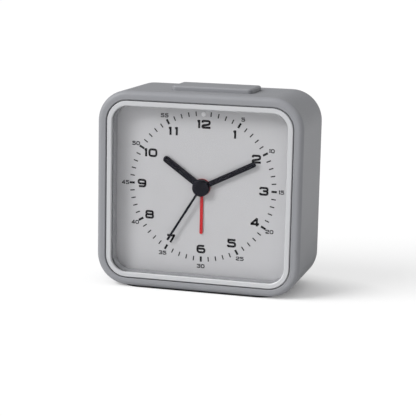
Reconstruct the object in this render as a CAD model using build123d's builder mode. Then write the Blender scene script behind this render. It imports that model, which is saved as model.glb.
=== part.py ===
from build123d import *
import os
from math import acos, asin, cos, degrees, hypot, pi, radians, sin, tan

# A square quartz alarm clock that stands on a table, in millimetres.
# The front faces -Y, +X is to the viewer's right, +Z is up, and the origin is the middle of the base.

# Case
case_width = 90.0
case_height = 85.4
case_depth = 40.0
case_corner = 13.5
case_wall = 2.2
case_rim = 3.9
rim_edge = 0.3
front_round = 2.2
back_round = 0.8
web_thickness = 1.6
plinth_height = 0.6
plinth_inset = 1.5
plinth_corner = 3.0
overrun = 1.0

# Dial, its ring and the window
dial_depth = 8.0
dial_rise = 2.0
dial_sheet = 0.4
dial_margin = 0.3
ring_wall = 1.0
ring_step = 0.6
ring_step_height = 0.45
lens_thickness = 1.4
seat_gap = 0.1

# Bezel
bezel_gap = 0.45
bezel_face = 2.15
bezel_lip = 1.2
bezel_edge = 0.3
bezel_groove = 2.0
bezel_fit = 0.05
clip_length = 14.0
clip_height = 0.4
clip_width = 1.0
clip_place_share = 0.62

# Hands, whose tips stay a margin inside the dial's reach
hour_margin = 13.4
hour_width = 2.9
minute_margin = 7.8
minute_width = 2.3
second_margin = 6.3
second_width = 0.95
alarm_margin = 13.8
alarm_width = 1.3
hand_sheet = 0.35
hand_gap = 0.3
hand_tip_share = 0.42
hub_radius = 3.7
alarm_hub_radius = 3.75
cap_height = 0.9
cap_round = 0.6
cap_bore_share = 0.6

# Time and alarm shown, in degrees clockwise from twelve
second_angle = 211.5
minute_angle = 63.5
hour_angle = 305.3
alarm_angle = 180.0

# Arbors, each running inside the next
second_arbor = 1.2
minute_tube = 2.8
hour_tube = 4.2
alarm_tube = 5.6
running_fit = 0.05
press_gap = 0.02

# Gear teeth
pressure_angle = 25.0
addendum_share = 0.8
dedendum_share = 1.05
gear_play = 0.06
wheel_face = 0.8
pinion_spare = 0.2
level_gap = 0.6

# Motion work, from minute arbor to hour wheel
motion_module = 0.4
cannon_teeth = 15
setting_teeth = 45
setting_pinion_teeth = 12
hour_teeth = 48

# Alarm setting gears
alarm_teeth = 60
alarm_pinion_teeth = 15

# Going train, from centre wheel to second wheel
centre_module = 0.24
centre_teeth = 80
third_pinion_teeth = 10
third_teeth = 75
second_pinion_teeth = 10
third_direction = 140.0

# Motor train, from second wheel to rotor
second_module = 0.37
second_teeth = 50
step_pinion_teeth = 10
step_direction = 25.0
rotor_module = 0.22
step_teeth = 60
rotor_pinion_teeth = 10
rotor_direction = 30.0

# Movement frame
plate = 1.2
mid_plate = 1.0
tray_wall = 1.2
plate_gap = 0.1
wheel_clear = 0.5
shaft_drop = 3.5
shaft_diameter = 2.4
pivot_diameter = 1.0
pivot_length = 0.8
post_radius = 2.2
frame_screw = 1.8
screw_fit = 0.05
screw_head = 3.4
screw_head_height = 1.2
drive_slot = 0.5
head_round_share = 0.33

# Clutch between centre wheel and minute arbor
clutch_radius = 3.0
clutch_sheet = 0.3

# Motor
magnet_radius = 2.0
magnet_height = 1.2
magnet_gap = 0.4
stator_sheet = 1.0
stator_ring = 2.0
stator_bar = 3.0
stator_reach = 7.0
stator_span = 8.5
coil_length = 10.4
coil_radius = 3.2
flange_sheet = 0.8
flange_radius = 3.6
bobbin_wall = 0.6
core_gap = 0.1
coil_clear = 0.4
stator_post = 1.2

# Circuit board
board_width = 10.5
board_height = 16.5
board_sheet = 1.0
board_side = 0.5
board_gap = 0.4
board_pad = 1.0
board_pad_inset = 2.0
chip_radius = 3.0
chip_height = 1.1
chip_place_shares = (0.5, 0.68)
crystal_diameter = 2.0
crystal_length = 6.0
crystal_place_shares = (0.5, 0.22)
crystal_round = 0.3

# Alarm contact spring, a leaf behind the hour wheel
leaf_length = 10.6
leaf_width = 2.0
leaf_sheet = 0.25
leaf_gap = 0.15
leaf_clear = 0.9
leaf_direction = -40.0
leaf_post = 1.0

# Rear cover and its screws
cover_thickness = 2.4
cover_seat = 1.6
cover_gap = 0.15
cover_edge = 0.4
boss_radius = 3.3
boss_sink = 0.3
cover_screw = 2.6
cover_screw_length = 10.0
cover_head = 5.0
cover_head_height = 1.4
head_gap = 0.2

# Knobs
knob_radius = 5.5
knob_height = 4.6
knob_gap = 0.4
knob_edge = 0.5
knob_flutes = 20
flute_radius = 0.5
knob_bore_share = 0.7

# Cell, its bay and the door
cell_diameter = 14.2
cell_side_room = 5.4
cell_nub_radius = 2.7
cell_nub = 1.3
cell_edge = 0.5
cell_gap = 0.4
cell_height = 13.2
bay_wall = 1.2
contact_sheet = 0.4
contact_width = 10.0
spring_room = 3.7
spring_radius = 3.4
spring_wire = 0.7
spring_turns = 3
wire_gap = 0.05
door_sheet = 1.4
door_lap = 1.6
door_gap = 0.15
door_rib = 1.0
door_rib_depth = 2.0
door_notch = 10.0
door_notch_depth = 0.7
door_corner = 1.5

# Alarm switch on the back
switch_side = 21.0
switch_below_roof = 16.1
switch_travel = 4.0
switch_thumb = 6.0
switch_thumb_height = 6.0
switch_proud = 1.8
switch_ribs = 3
switch_rib_depth = 0.5
switch_stem = 2.6
switch_gap = 0.2
switch_flange = 1.0
switch_flange_margin = 1.4
switch_box_depth = 4.0
switch_box_margin = 1.6

# Buzzer behind the sound slots
buzzer_side = 24.0
buzzer_below_roof = 17.1
buzzer_radius = 11.0
buzzer_wall = 1.6
buzzer_height = 4.0
piezo_sheet = 0.4
piezo_step = 1.0
piezo_ledge = 0.5
sound_slots = 5
sound_slot = 1.4
sound_pitch = 3.0
sound_length = 13.0

# Snooze bar on top, its guide, springs and switch
snooze_width = 35.5
snooze_depth = 18.2
snooze_across = 2.3
snooze_front_room = 1.0
snooze_proud = 2.0
snooze_round = 0.9
snooze_corner = 2.0
snooze_gap = 0.3
snooze_travel = 1.4
snooze_flange = 1.2
snooze_flange_margin = 1.5
snooze_pin = 3.0
snooze_pin_share = 0.34
guide_drop = 6.2
guide_sheet = 1.6
guide_post_gap = 0.8
guide_depth = 9.0
guide_front_room = 1.3
guide_post = 2.2
guide_post_inset = 2.6
guide_screw = 1.6
guide_screw_length = 5.0
guide_head = 3.0
guide_head_height = 0.9
coil_wire = 0.5
coil_gap = 0.5
coil_turns = 5
snooze_switch_size = 6.0
snooze_plunger = 0.6
snooze_key_radius = 1.6
snooze_key_height = 0.5
key_gap = 0.05

# Dial light at twelve
light_radius = 1.0
light_margin = 2.8
light_proud = 0.25
light_flange = 0.9
light_flange_sheet = 0.8
lamp_radius = 1.5
lamp_length = 3.0
lamp_tube_wall = 1.2
lamp_tube_length = 3.6
light_fit = 0.1

# Depths along Y, from the front to the back
front = -case_depth / 2
back = case_depth / 2
lens_front = front + bezel_lip
lens_back = lens_front + lens_thickness
dial_front = front + dial_depth
web_front = dial_front + dial_sheet
frame_front = web_front + web_thickness
tray_inside = frame_front + plate
cover_front = back - cover_thickness
lamp_front = frame_front + light_flange_sheet
lamp_back = lamp_front + lamp_length
lamp_end = lamp_back + light_flange

# Depths of the gear levels, each from the front face to the back face of its wheel
alarm_level = tray_inside + level_gap
hour_level = alarm_level + wheel_face + level_gap
setting_level = hour_level + wheel_face + level_gap
mid_front = setting_level + wheel_face + level_gap
mid_back = mid_front + mid_plate
centre_level = mid_back + clutch_sheet + level_gap
third_level = centre_level + wheel_face + level_gap
second_level = third_level + wheel_face + level_gap
step_level = second_level + wheel_face + level_gap
plate_front = step_level + wheel_face + level_gap
plate_back = plate_front + plate

# Depths of the hands, counted forward from the dial
alarm_hand_y = dial_front - hand_gap - hand_sheet
hour_hand_y = alarm_hand_y - hand_gap - hand_sheet
minute_hand_y = hour_hand_y - hand_gap - hand_sheet
second_hand_y = minute_hand_y - hand_gap - hand_sheet

# Insets of the front rings from the case outline
bezel_inset = case_rim + bezel_gap
opening_inset = bezel_inset + bezel_face
ring_inset = opening_inset - ring_wall
skirt_inset = ring_inset - seat_gap
dial_inset = case_rim + dial_margin

# Places on the dial, counted from its centre
dial_z = case_height / 2 + dial_rise
dial_reach = min(case_height / 2 - dial_rise, case_width / 2) - opening_inset
hour_length = dial_reach - hour_margin
minute_length = dial_reach - minute_margin
second_length = dial_reach - second_margin
alarm_length = dial_reach - alarm_margin
light = (0, dial_reach - light_margin)
motion_distance = motion_module * (cannon_teeth + setting_teeth) / 2
hour_module = 2 * motion_distance / (setting_pinion_teeth + hour_teeth)
alarm_distance = motion_module * (alarm_teeth + alarm_pinion_teeth) / 2
centre_distance = centre_module * (centre_teeth + third_pinion_teeth) / 2
third_module = 2 * centre_distance / (third_teeth + second_pinion_teeth)
second_distance = second_module * (second_teeth + step_pinion_teeth) / 2
rotor_distance = rotor_module * (step_teeth + rotor_pinion_teeth) / 2


def polar(distance, angle):
    return (distance * cos(radians(angle)), distance * sin(radians(angle)))


setting_direction = 180 + degrees(asin(shaft_drop / motion_distance))
alarm_direction = -degrees(asin(shaft_drop / alarm_distance))
centre = (0, 0)
setting = polar(motion_distance, setting_direction)
alarm_shaft = polar(alarm_distance, alarm_direction)
third = polar(centre_distance, third_direction)
step = polar(second_distance, step_direction)
rotor_offset = polar(rotor_distance, rotor_direction)
rotor = (step[0] + rotor_offset[0], step[1] + rotor_offset[1])


def tip_radius(teeth, module):
    return module * (teeth / 2 + addendum_share)


# Movement frame, drawn round the gears and the coil that stands beside the rotor
coil_place = (rotor[0] + stator_span, rotor[1])
stator_ends = [(coil_place[0], coil_place[1] + side * stator_reach) for side in (-1, 1)]
stator_top = rotor[1] + stator_reach + stator_bar / 2
third_top = third[1] + tip_radius(third_teeth, third_module)
setting_tip = tip_radius(setting_teeth, motion_module)
frame_high = max(stator_top, third_top) + wheel_clear + tray_wall
frame_low = setting[1] - setting_tip - wheel_clear - tray_wall
post_inset = tray_wall + plate_gap + post_radius
frame_left = setting[0] - setting_tip - wheel_clear - post_radius - post_inset
frame_right = coil_place[0] + flange_radius + coil_clear + tray_wall
post_places = [
    (frame_left + post_inset, frame_high - post_inset),
    (frame_left + post_inset, frame_low + post_inset),
    (frame_right - post_inset, frame_low + post_inset),
    (step[0], frame_high - post_inset),
]
board_left = frame_left + tray_wall + board_side
board_low = frame_low + post_inset + post_radius + board_side

# Places of the cover screws, in the corners of the case
boss_reach = (case_corner - case_wall - boss_radius + boss_sink) / 2**0.5
boss_x = case_width / 2 - case_corner + boss_reach
boss_z = case_height / 2 - case_corner + boss_reach
boss_places = [(sx * boss_x, case_height / 2 + sz * boss_z) for sx in (-1, 1) for sz in (-1, 1)]

# Cell bay, along X across the bottom of the back
door_inside = back - door_sheet
cell_y = door_inside - cell_gap - cell_diameter / 2
bay_half_height = cell_diameter / 2 + cell_gap
bay_front = cell_y - bay_half_height
bay_length = 2 * (boss_x - boss_radius - bay_wall - cell_side_room)
cell_length = bay_length - 2 * contact_sheet - cell_nub - spring_room
bay_left = -bay_length / 2
bay_right = bay_length / 2

# Snooze bar heights and places
roof = case_height - case_wall
snooze_top = case_height + snooze_proud
flange_bottom = roof - snooze_flange
guide_top = roof - guide_drop
guide_y = lamp_end + guide_front_room + guide_depth / 2
snooze_centre = frame_front + snooze_front_room + snooze_depth / 2
snooze_pins = [snooze_across + side * snooze_width * snooze_pin_share for side in (-1, 1)]
guide_post_x = snooze_width / 2 + snooze_flange_margin + guide_post_gap + guide_post
guide_posts = [snooze_across - guide_post_x, snooze_across + guide_post_x]
guide_width = 2 * (guide_post_x + guide_post_inset)
plunger_bottom = flange_bottom - snooze_plunger
key_top = plunger_bottom - snooze_travel - key_gap
snooze_switch_height = key_top - snooze_key_height - guide_top

# Places of the alarm switch and the buzzer on the back
switch_across = case_width / 2 - switch_side
switch_z = roof - switch_below_roof
buzzer_across = case_width / 2 - buzzer_side
buzzer_z = roof - buzzer_below_roof


def case_layer(y):
    """A plane that faces the front at depth y, centred on the case."""
    return Plane(origin=(0, y, case_height / 2), x_dir=(1, 0, 0), z_dir=(0, -1, 0))


def dial_layer(y):
    """A plane that faces the front at depth y, centred on the dial."""
    return Plane(origin=(0, y, dial_z), x_dir=(1, 0, 0), z_dir=(0, -1, 0))


def outline(inset, mode=Mode.ADD):
    """The case outline drawn in by an inset."""
    RectangleRounded(case_width - 2 * inset, case_height - 2 * inset, case_corner - inset, mode=mode)


def turned(radius, y_from, y_to, place=(0, 0), mode=Mode.ADD):
    """A cylinder along Y about a place on the dial."""
    with Locations((place[0], (y_from + y_to) / 2, dial_z + place[1])):
        Cylinder(radius, abs(y_to - y_from), rotation=(90, 0, 0), mode=mode)


def block(low, high, mode=Mode.ADD):
    """A box between two corners."""
    with Locations(tuple((a + b) / 2 for a, b in zip(low, high))):
        Box(*(b - a for a, b in zip(low, high)), mode=mode)


def involute(angle):
    return tan(angle) - angle


def gear_face(y, place, teeth, module, phase):
    """A spur gear outline at depth y, with a tooth at the phase angle."""
    pitch_r = module * teeth / 2
    base_r = pitch_r * cos(radians(pressure_angle))
    tip_r = pitch_r + addendum_share * module
    root_r = pitch_r - dedendum_share * module
    start_r = max(base_r, root_r)
    middle_r = (start_r + tip_r) / 2
    at_pitch = pi / (2 * teeth) - gear_play / (2 * pitch_r) + involute(radians(pressure_angle))

    def spread(radius):
        return degrees(at_pitch - involute(acos(min(1, base_r / radius))))

    radii = (root_r, start_r, middle_r, tip_r) if start_r > root_r else (root_r, middle_r, tip_r)
    points = []
    for tooth in range(teeth):
        middle = phase + 360 * tooth / teeth
        points += [polar(r, middle - spread(max(r, start_r))) for r in radii]
        points += [polar(r, middle + spread(max(r, start_r))) for r in reversed(radii)]
    with BuildSketch(dial_layer(y)) as face:
        with BuildLine():
            Polyline(*points, close=True)
        make_face()
    return Pos(place[0], 0, place[1]) * face.sketch


def mesh_phase(phase, teeth, mate_teeth, direction):
    """The phase at which a mate's gap takes the driver's tooth, with the mate lying that way."""
    return direction + 180 + (direction - phase) * teeth / mate_teeth + 180 / mate_teeth


def hand_face(y, length, width, angle):
    """A baton hand with a round hub, turned clockwise from twelve."""
    with BuildSketch(dial_layer(y)) as face:
        with Locations(Location((0, 0, 0), (0, 0, -angle))):
            with Locations((0, length / 2)):
                RectangleRounded(width, length, width * hand_tip_share)
        Circle(hub_radius)
    return face.sketch


def wire_spring(base, direction, radius, wire, height, turns):
    """A spring of round wire that winds up from a base point."""
    with BuildPart() as spring:
        with BuildLine() as line:
            Helix(height / turns, height, radius, center=base, direction=direction)
        with BuildSketch(Plane(origin=line.line @ 0, z_dir=line.line % 0)):
            Circle(wire / 2)
        sweep(is_frenet=True)
    return spring


def round_screw(radius, length, head_radius, head_height, plane):
    """A pan head screw whose head sits on the plane and whose shank goes the other way."""
    with BuildPart(plane) as screw:
        Cylinder(head_radius, head_height, align=(Align.CENTER, Align.CENTER, Align.MIN))
        fillet(screw.edges().sort_by(Axis(plane.origin, plane.z_dir))[-1], head_height * head_round_share)
        Cylinder(radius, length, align=(Align.CENTER, Align.CENTER, Align.MAX))
        with Locations((0, 0, head_height)):
            Box(2 * head_radius, drive_slot, head_height, mode=Mode.SUBTRACT)
            Box(drive_slot, 2 * head_radius, head_height, mode=Mode.SUBTRACT)
    return screw.part


def clip_ridges(inset, grow, mode=Mode.ADD):
    """Four ridges, one on each side, that stand out from an inset outline."""
    clip_y = front + dial_depth * clip_place_share
    height = 2 * (clip_height + grow)
    across = (case_width / 2 - inset, case_height / 2 - inset)
    length = clip_length + 2 * grow
    depth = clip_width + 2 * grow
    for side in (-1, 1):
        with Locations((side * across[0], clip_y, case_height / 2)):
            Box(height, depth, length, mode=mode)
        with Locations((0, clip_y, case_height / 2 + side * across[1])):
            Box(length, depth, height, mode=mode)


# Case: a shell with a pocket in front, a web behind the dial and an open back
with BuildPart() as case_shell:
    with BuildSketch(case_layer(front)):
        with Locations((0, plinth_height / 2)):
            RectangleRounded(case_width, case_height - plinth_height, case_corner)
    extrude(amount=-case_depth)
    fillet(case_shell.faces().sort_by(Axis.Y)[0].edges(), front_round)
    fillet(case_shell.faces().sort_by(Axis.Y)[-1].edges(), back_round)
    with BuildSketch(case_layer(front)):
        outline(case_rim)
    extrude(amount=-(web_front - front), mode=Mode.SUBTRACT)
    chamfer(case_shell.faces().sort_by(Axis.Y)[0].inner_wires()[0].edges(), rim_edge)
    clip_ridges(case_rim, bezel_fit, mode=Mode.SUBTRACT)
    with BuildSketch(case_layer(frame_front)):
        outline(case_wall)
    extrude(amount=-(cover_front - frame_front), mode=Mode.SUBTRACT)
    with BuildSketch(case_layer(cover_front)):
        outline(cover_seat)
    extrude(amount=-(back - cover_front), mode=Mode.SUBTRACT)
    # Plinth that lifts the lower edges off the table
    with BuildSketch():
        RectangleRounded(
            case_width - 2 * (case_corner + plinth_inset), case_depth - 2 * plinth_inset, plinth_corner
        )
    extrude(amount=(plinth_height + case_wall) / 2)
    # Screw bosses in the corners
    pilot_radius = cover_screw / 2 + screw_fit
    for x, z in boss_places:
        with Locations((x, (frame_front + cover_front) / 2, z)):
            Cylinder(boss_radius, cover_front - frame_front, rotation=(90, 0, 0))
        with Locations((x, cover_front - cover_screw_length / 2, z)):
            Cylinder(pilot_radius, cover_screw_length, rotation=(90, 0, 0), mode=Mode.SUBTRACT)
    # Tube behind the web that holds the dial lamp
    lamp_tube = lamp_radius + light_fit
    turned(lamp_tube + lamp_tube_wall, frame_front, frame_front + lamp_tube_length, light)
    flange_hole = light_radius + light_flange + light_fit
    turned(flange_hole, frame_front, frame_front + lamp_tube_length, light, Mode.SUBTRACT)
    turned(light_radius + light_fit, web_front, frame_front, light, Mode.SUBTRACT)
    # Hole for the arbors, and pilot holes for the movement screws
    turned(alarm_hub_radius, web_front, frame_front, centre, Mode.SUBTRACT)
    for place in post_places:
        turned(frame_screw / 2 + screw_fit, web_front, frame_front, place, Mode.SUBTRACT)
    # Opening and guide posts for the snooze bar
    with BuildSketch(Plane.XY.offset(roof)):
        with Locations((snooze_across, snooze_centre)):
            RectangleRounded(
                snooze_width + 2 * snooze_gap, snooze_depth + 2 * snooze_gap, snooze_corner + snooze_gap
            )
    extrude(amount=case_wall + overrun, mode=Mode.SUBTRACT)
    for x in guide_posts:
        with Locations((x, guide_y, (roof + guide_top) / 2)):
            Cylinder(guide_post, guide_drop)
        with Locations((x, guide_y, guide_top + guide_screw_length / 2)):
            Cylinder(guide_screw / 2 + screw_fit, guide_screw_length, mode=Mode.SUBTRACT)

# Bezel: a silver ring with a lip over the window and a skirt that clips into the case
with BuildPart() as bezel:
    with BuildSketch(case_layer(front)):
        outline(bezel_inset)
        outline(opening_inset, mode=Mode.SUBTRACT)
    extrude(amount=-(dial_depth - seat_gap))
    with BuildSketch(case_layer(front + bezel_groove)):
        outline(case_rim + bezel_fit)
        outline(opening_inset, mode=Mode.SUBTRACT)
    extrude(amount=-(dial_depth - seat_gap - bezel_groove))
    with BuildSketch(case_layer(lens_front)):
        outline(skirt_inset)
    extrude(amount=-dial_depth, mode=Mode.SUBTRACT)
    chamfer(bezel.faces().sort_by(Axis.Y)[0].edges(), bezel_edge)
    clip_ridges(case_rim + bezel_fit, 0)
    with BuildSketch(case_layer(lens_front)):
        outline(skirt_inset)
    extrude(amount=-dial_depth, mode=Mode.SUBTRACT)

# Window in front of the hands
with BuildPart() as lens:
    with BuildSketch(case_layer(lens_front)):
        outline(ring_inset)
    extrude(amount=-lens_thickness)

# Ring between the window and the dial
with BuildPart() as dial_ring:
    with BuildSketch(case_layer(lens_back)):
        outline(ring_inset)
        outline(opening_inset, mode=Mode.SUBTRACT)
    extrude(amount=-(dial_front - lens_back))
    with BuildSketch(case_layer(dial_front - ring_step_height)):
        outline(opening_inset - ring_step)
    extrude(amount=-ring_step_height, mode=Mode.SUBTRACT)

# Dial sheet on the web
with BuildPart() as dial:
    with BuildSketch(case_layer(dial_front)):
        outline(dial_inset)
    extrude(amount=-dial_sheet)
    turned(alarm_tube / 2 + hand_gap, dial_front, web_front, centre, Mode.SUBTRACT)
    turned(light_radius + light_fit, dial_front, web_front, light, Mode.SUBTRACT)

# Light at twelve: a clear lens pushed in from behind, with its lamp
with BuildPart() as light_lens:
    turned(light_radius, dial_front - light_proud, frame_front, light)
    turned(light_radius + light_flange, frame_front, frame_front + light_flange_sheet, light)
    fillet(light_lens.edges().sort_by(Axis.Y)[0], light_proud / 2)
with BuildPart() as dial_lamp:
    turned(lamp_radius, lamp_front, lamp_back, light)
    fillet(dial_lamp.edges().sort_by(Axis.Y)[0], lamp_radius / 2)
    turned(light_radius + light_flange, lamp_back, lamp_end, light)

# Second hand with its cap, on the second arbor
with BuildPart() as second_hand:
    extrude(hand_face(second_hand_y, second_length, second_width, second_angle), amount=-hand_sheet)
    turned(hub_radius, second_hand_y - cap_height, second_hand_y)
    fillet(second_hand.edges().sort_by(Axis.Y)[0], cap_round)
    turned(second_arbor / 2 + press_gap, second_hand_y - cap_height * cap_bore_share,
           second_hand_y + hand_sheet, centre, Mode.SUBTRACT)
arbor_tip = second_hand_y - cap_height * cap_bore_share + press_gap

# Minute, hour and alarm hands, each pressed on its tube
with BuildPart() as minute_hand:
    extrude(hand_face(minute_hand_y, minute_length, minute_width, minute_angle), amount=-hand_sheet)
    turned(minute_tube / 2 + press_gap, minute_hand_y, minute_hand_y + hand_sheet, centre, Mode.SUBTRACT)
with BuildPart() as hour_hand:
    extrude(hand_face(hour_hand_y, hour_length, hour_width, hour_angle), amount=-hand_sheet)
    turned(hour_tube / 2 + press_gap, hour_hand_y, hour_hand_y + hand_sheet, centre, Mode.SUBTRACT)
with BuildPart() as alarm_hand:
    extrude(hand_face(alarm_hand_y, alarm_length, alarm_width, alarm_angle), amount=-hand_sheet)
    turned(alarm_hub_radius, alarm_hand_y, alarm_hand_y + hand_sheet)
    turned(alarm_tube / 2 + press_gap, alarm_hand_y, alarm_hand_y + hand_sheet, centre, Mode.SUBTRACT)

# Gear phases, worked out along the trains so that every pair is in mesh
setting_phase = mesh_phase(0, cannon_teeth, setting_teeth, setting_direction)
hour_phase = mesh_phase(setting_phase, setting_pinion_teeth, hour_teeth, setting_direction + 180)
alarm_pinion_phase = mesh_phase(0, alarm_teeth, alarm_pinion_teeth, alarm_direction)
third_phase = mesh_phase(0, centre_teeth, third_pinion_teeth, third_direction)
second_phase = mesh_phase(third_phase, third_teeth, second_pinion_teeth, third_direction + 180)
step_phase = mesh_phase(second_phase, second_teeth, step_pinion_teeth, step_direction)
rotor_phase = mesh_phase(step_phase, step_teeth, rotor_pinion_teeth, rotor_direction)

# Alarm wheel, whose tube carries the alarm hand
with BuildPart() as alarm_wheel:
    extrude(gear_face(alarm_level, centre, alarm_teeth, motion_module, 0), amount=-wheel_face)
    turned(alarm_tube / 2, alarm_hand_y, alarm_level + wheel_face)
    turned(hour_tube / 2 + running_fit, alarm_hand_y, alarm_level + wheel_face, centre, Mode.SUBTRACT)

# Hour wheel, whose tube carries the hour hand
with BuildPart() as hour_wheel:
    extrude(gear_face(hour_level, centre, hour_teeth, hour_module, hour_phase), amount=-wheel_face)
    turned(hour_tube / 2, hour_hand_y, hour_level + wheel_face)
    turned(minute_tube / 2 + running_fit, hour_hand_y, hour_level + wheel_face, centre, Mode.SUBTRACT)

# Minute arbor with the cannon pinion, hollow for the second arbor
arbor_back = centre_level + wheel_face
with BuildPart() as minute_arbor:
    cannon_front = setting_level - pinion_spare
    cannon_height = wheel_face + 2 * pinion_spare
    extrude(gear_face(cannon_front, centre, cannon_teeth, motion_module, 0), amount=-cannon_height)
    turned(minute_tube / 2, minute_hand_y, arbor_back)
    turned(second_arbor / 2 + running_fit, minute_hand_y, arbor_back, centre, Mode.SUBTRACT)

# Centre wheel, free on the minute arbor, with the clutch spring that drags the arbor along
with BuildPart() as centre_wheel:
    extrude(gear_face(centre_level, centre, centre_teeth, centre_module, 0), amount=-wheel_face)
    turned(minute_tube / 2 + running_fit, centre_level, arbor_back, centre, Mode.SUBTRACT)
with BuildPart() as clutch_spring:
    clutch_back = centre_level - running_fit
    turned(clutch_radius, clutch_back - clutch_sheet, clutch_back)
    turned(minute_tube / 2 + press_gap, clutch_back - clutch_sheet, clutch_back, centre, Mode.SUBTRACT)


def geared_arbor(pinion, wheel, place, front_end, back_end):
    """Adds a pinion and a wheel on one arbor with a pivot at each end."""
    for level, teeth, module, phase, spare in (pinion, wheel):
        face = gear_face(level - spare, place, teeth, module, phase)
        extrude(face, amount=-(wheel_face + 2 * spare))
    turned(pivot_diameter / 2 + running_fit, front_end, back_end, place)
    turned(pivot_diameter / 2, front_end - pivot_length, back_end + pivot_length, place)


# Third wheel, between centre wheel and second wheel
with BuildPart() as third_wheel:
    geared_arbor(
        (centre_level, third_pinion_teeth, centre_module, third_phase, pinion_spare),
        (third_level, third_teeth, third_module, third_phase, 0),
        third, mid_back + plate_gap, plate_front - plate_gap,
    )

# Second wheel on the long arbor that carries the second hand
with BuildPart() as second_wheel:
    pinion_front = third_level - pinion_spare
    pinion_face = gear_face(pinion_front, centre, second_pinion_teeth, third_module, second_phase)
    extrude(pinion_face, amount=-(wheel_face + 2 * pinion_spare))
    extrude(gear_face(second_level, centre, second_teeth, second_module, second_phase), amount=-wheel_face)
    turned(second_arbor / 2, arbor_tip, plate_front - plate_gap)
    turned(pivot_diameter / 2, second_level, plate_front - plate_gap + pivot_length)

# Step wheel, between second wheel and rotor
with BuildPart() as step_wheel:
    geared_arbor(
        (second_level, step_pinion_teeth, second_module, step_phase, pinion_spare),
        (step_level, step_teeth, rotor_module, step_phase, 0),
        step, mid_back + plate_gap, plate_front - plate_gap,
    )

# Rotor: a small magnet on its pinion
magnet_front = third_level
with BuildPart() as rotor_pinion:
    pinion_front = step_level - pinion_spare
    pinion_face = gear_face(pinion_front, rotor, rotor_pinion_teeth, rotor_module, rotor_phase)
    extrude(pinion_face, amount=-(wheel_face + 2 * pinion_spare))
    turned(pivot_diameter / 2, mid_back + plate_gap - pivot_length,
           plate_front - plate_gap + pivot_length, rotor)
with BuildPart() as rotor_magnet:
    turned(magnet_radius, magnet_front, magnet_front + magnet_height, rotor)
    turned(pivot_diameter / 2 + press_gap, magnet_front, magnet_front + magnet_height, rotor, Mode.SUBTRACT)

# Time setting wheel: the motion work's second wheel, on the shaft of the time knob
knob_front = back + knob_gap
shaft_end = knob_front + knob_height * knob_bore_share
with BuildPart() as setting_wheel:
    pinion_front = hour_level - pinion_spare
    pinion_face = gear_face(pinion_front, setting, setting_pinion_teeth, hour_module, setting_phase)
    extrude(pinion_face, amount=-(setting_level - pinion_front))
    large_face = gear_face(setting_level, setting, setting_teeth, motion_module, setting_phase)
    extrude(large_face, amount=-wheel_face)
    turned(shaft_diameter / 2, setting_level, shaft_end, setting)

# Alarm setting shaft, with the pinion that turns the alarm wheel
with BuildPart() as alarm_setting_shaft:
    pinion_front = alarm_level - pinion_spare
    pinion_face = gear_face(
        pinion_front, alarm_shaft, alarm_pinion_teeth, motion_module, alarm_pinion_phase
    )
    extrude(pinion_face, amount=-(wheel_face + 2 * pinion_spare))
    turned(shaft_diameter / 2, pinion_front, shaft_end, alarm_shaft)
    turned(pivot_diameter / 2, tray_inside - pivot_length, pinion_front, alarm_shaft)


def knob(place):
    """A fluted knob on a setting shaft."""
    with BuildPart() as turned_knob:
        turned(knob_radius, knob_front, knob_front + knob_height, place)
        fillet(turned_knob.edges().sort_by(Axis.Y)[-1], knob_edge)
        for flute in range(knob_flutes):
            spot = polar(knob_radius, 360 * flute / knob_flutes)
            spot = (place[0] + spot[0], place[1] + spot[1])
            turned(flute_radius, knob_front, knob_front + knob_height, spot, Mode.SUBTRACT)
        turned(shaft_diameter / 2 + press_gap, knob_front, shaft_end + press_gap, place, Mode.SUBTRACT)
    return turned_knob


time_knob = knob(setting)
alarm_knob = knob(alarm_shaft)

# Movement housing: a tray that opens to the back, with posts for the mid plate and the stator
stator_front = magnet_front + (magnet_height - stator_sheet) / 2
stator_back = stator_front + stator_sheet
core_front = stator_front - stator_sheet
with BuildPart() as movement_housing:
    block((frame_left, frame_front, dial_z + frame_low), (frame_right, plate_front, dial_z + frame_high))
    block((frame_left + tray_wall, tray_inside, dial_z + frame_low + tray_wall),
          (frame_right - tray_wall, plate_front, dial_z + frame_high - tray_wall), Mode.SUBTRACT)
    for place in post_places:
        turned(post_radius, tray_inside, mid_front, place)
        turned(frame_screw / 2 + screw_fit, frame_front, mid_front, place, Mode.SUBTRACT)
    for place in stator_ends:
        turned(stator_post, tray_inside, core_front, place)
    turned(alarm_tube / 2 + running_fit, frame_front, tray_inside, centre, Mode.SUBTRACT)
    turned(pivot_diameter / 2 + running_fit, tray_inside - pivot_length - plate_gap,
           tray_inside, alarm_shaft, Mode.SUBTRACT)

# Mid plate, between the motion work and the going train
with BuildPart() as movement_mid_plate:
    edge = tray_wall + plate_gap
    block((frame_left + edge, mid_front, dial_z + frame_low + edge),
          (frame_right - edge, mid_back, dial_z + frame_high - edge))
    # Cut out for the coil and its posts
    block((coil_place[0] - flange_radius - coil_clear, mid_front,
           dial_z + stator_ends[0][1] - stator_post - coil_clear),
          (frame_right, mid_back, dial_z + frame_high), Mode.SUBTRACT)
    for place in post_places:
        turned(frame_screw / 2 + screw_fit, mid_front, mid_back, place, Mode.SUBTRACT)
    turned(minute_tube / 2 + running_fit, mid_front, mid_back, centre, Mode.SUBTRACT)
    for place in (setting, alarm_shaft):
        turned(shaft_diameter / 2 + running_fit, mid_front, mid_back, place, Mode.SUBTRACT)
    for place in (third, step, rotor):
        turned(pivot_diameter / 2 + running_fit, mid_front, mid_back, place, Mode.SUBTRACT)
    # Post that carries the alarm contact spring
    leaf_front = hour_level + wheel_face + leaf_gap
    leaf_start = minute_tube + leaf_clear
    leaf_post_place = polar(leaf_start + leaf_length - leaf_width / 2, leaf_direction)
    turned(leaf_post, leaf_front + leaf_sheet, mid_front, leaf_post_place)

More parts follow.
